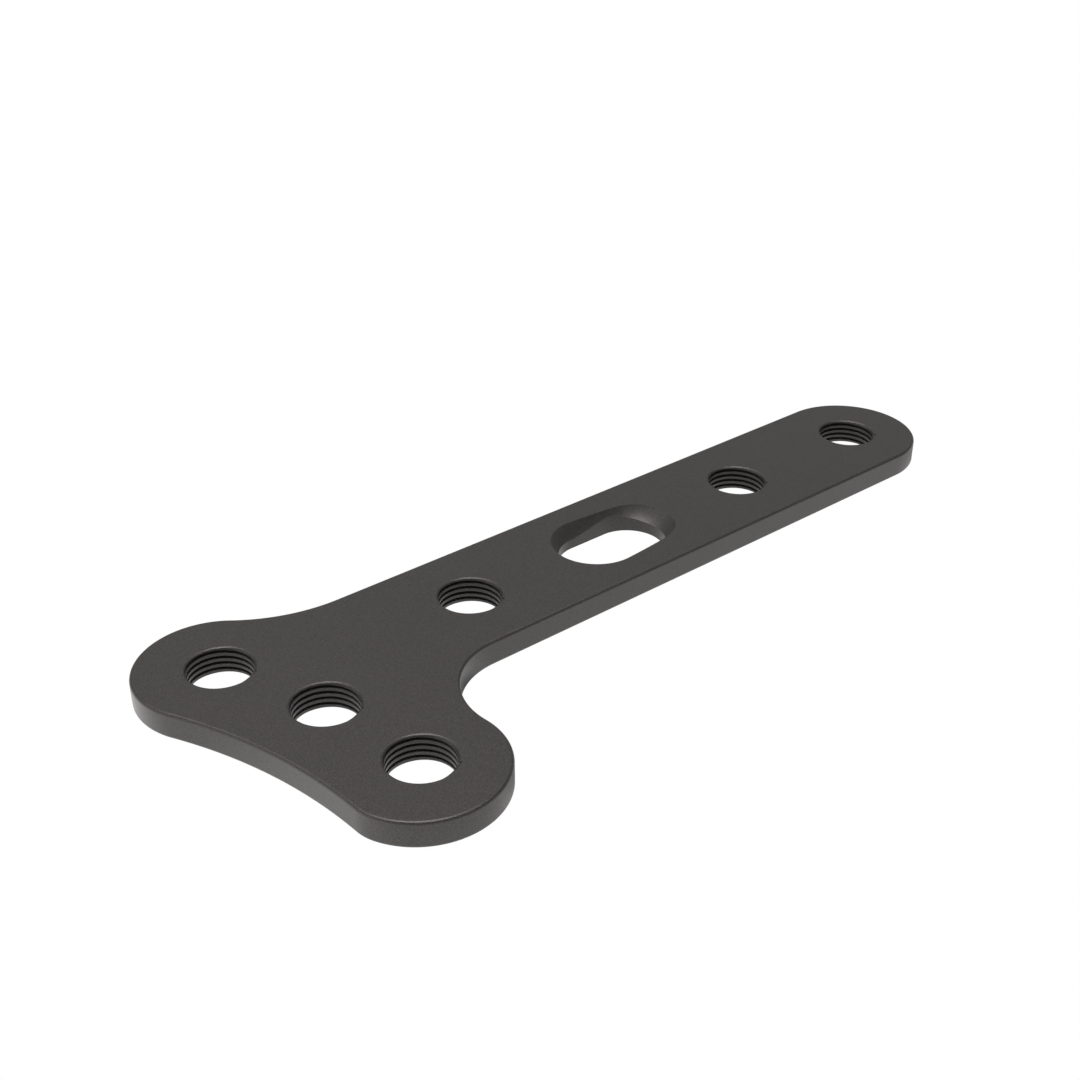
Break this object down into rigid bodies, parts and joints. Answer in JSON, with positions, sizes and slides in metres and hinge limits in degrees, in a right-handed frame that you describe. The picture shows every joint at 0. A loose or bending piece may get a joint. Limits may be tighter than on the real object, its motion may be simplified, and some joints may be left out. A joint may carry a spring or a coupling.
{
  "type": "oblique t-plate",
  "caption": "Flat oblique T-shaped bone plate: a slanted lobed head and a straight round-ended shaft, with threaded round screw holes and a ramped compression slot.",
  "frame": {"origin": "on the axis of the round hole at the neck, in the plane of the flat underside", "axes": "+X along the shaft, from the neck hole to the shaft's rounded end; +Y to the side of the wide neck curve; +Z out of the top face, along the screw holes"},
  "size_m": [0.062, 0.0245, 0.0017],
  "materials": {
    "plate": "dark grey anodised titanium, fine blasted grain, satin to matte"
  },
  "bodies": {
    "root": {"plate": "plate"}
  },
  "joints": []
}
